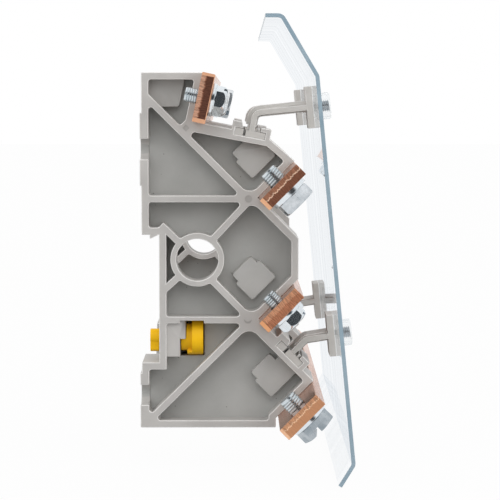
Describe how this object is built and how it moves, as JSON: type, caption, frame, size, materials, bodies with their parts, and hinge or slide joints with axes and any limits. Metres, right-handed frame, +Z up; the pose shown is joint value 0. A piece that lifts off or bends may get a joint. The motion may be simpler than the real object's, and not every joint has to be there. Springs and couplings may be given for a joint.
{
  "type": "power distribution block",
  "caption": "Stepped busbar distribution block: copper bars bolted across ribbed end supports, behind a clear bent cover on moulded arms, with rail latches",
  "frame": {"origin": "On the rear mounting plane, at the middle of the rail recess and half way between the two end supports", "axes": "+X out from the mounting wall, +Y along the bars away from the camera, +Z up"},
  "size_m": [0.0651, 0.2, 0.1364],
  "materials": {
    "support_plastic": "light warm grey moulded plastic",
    "arm_plastic": "light grey moulded plastic",
    "copper": "bare drawn copper with sheared ends",
    "plated_steel": "bright zinc plated",
    "clear_sheet": "clear bent plastic sheet",
    "clear_knob": "clear moulded plastic",
    "latch_plastic": "yellow moulded plastic"
  },
  "bodies": {
    "block": {"end_support_near": "support_plastic", "end_support_far": "support_plastic", "busbar_1": "copper", "busbar_2": "copper", "busbar_3": "copper", "busbar_4": "copper", "main_bolt_1": "plated_steel", "main_washer_1": "plated_steel", "end_screw_1": "plated_steel", "end_washer_1": "plated_steel", "terminal_screws_1": "plated_steel", "terminal_washers_1": "plated_steel", "main_bolt_2": "plated_steel", "main_washer_2": "plated_steel", "end_screw_2": "plated_steel", "end_washer_2": "plated_steel", "terminal_screws_2": "plated_steel", "terminal_washers_2": "plated_steel", "main_bolt_3": "plated_steel", "main_washer_3": "plated_steel", "end_screw_3": "plated_steel", "end_washer_3": "plated_steel", "terminal_screws_3": "plated_steel", "terminal_washers_3": "plated_steel", "main_bolt_4": "plated_steel", "main_washer_4": "plated_steel", "end_screw_4": "plated_steel", "end_washer_4": "plated_steel", "terminal_screws_4": "plated_steel", "terminal_washers_4": "plated_steel", "support_screws_near": "plated_steel", "support_washers_near": "plated_steel", "support_nuts_near": "plated_steel", "support_screws_far": "plated_steel", "support_washers_far": "plated_steel", "support_nuts_far": "plated_steel", "cover_screen": "clear_sheet", "cover_arm_upper_near": "arm_plastic", "cover_screw_upper_near": "clear_knob", "cover_arm_upper_far": "arm_plastic", "cover_screw_upper_far": "clear_knob", "cover_arm_lower_near": "arm_plastic", "cover_screw_lower_near": "clear_knob", "cover_arm_lower_far": "arm_plastic", "cover_screw_lower_far": "clear_knob"},
    "latch_near": {"rail_latch_near": "latch_plastic"},
    "latch_far": {"rail_latch_far": "latch_plastic"}
  },
  "joints": [
    {"name": "latch_turn_near", "type": "hinge", "parent": "block", "child": "latch_near", "pos_m": [0.0098, -0.0585, -0.0124], "axis": [1, 0, 0], "range_deg": [0, 90]},
    {"name": "latch_turn_far", "type": "hinge", "parent": "block", "child": "latch_far", "pos_m": [0.0098, 0.0515, -0.0124], "axis": [1, 0, 0], "range_deg": [0, 90]}
  ]
}
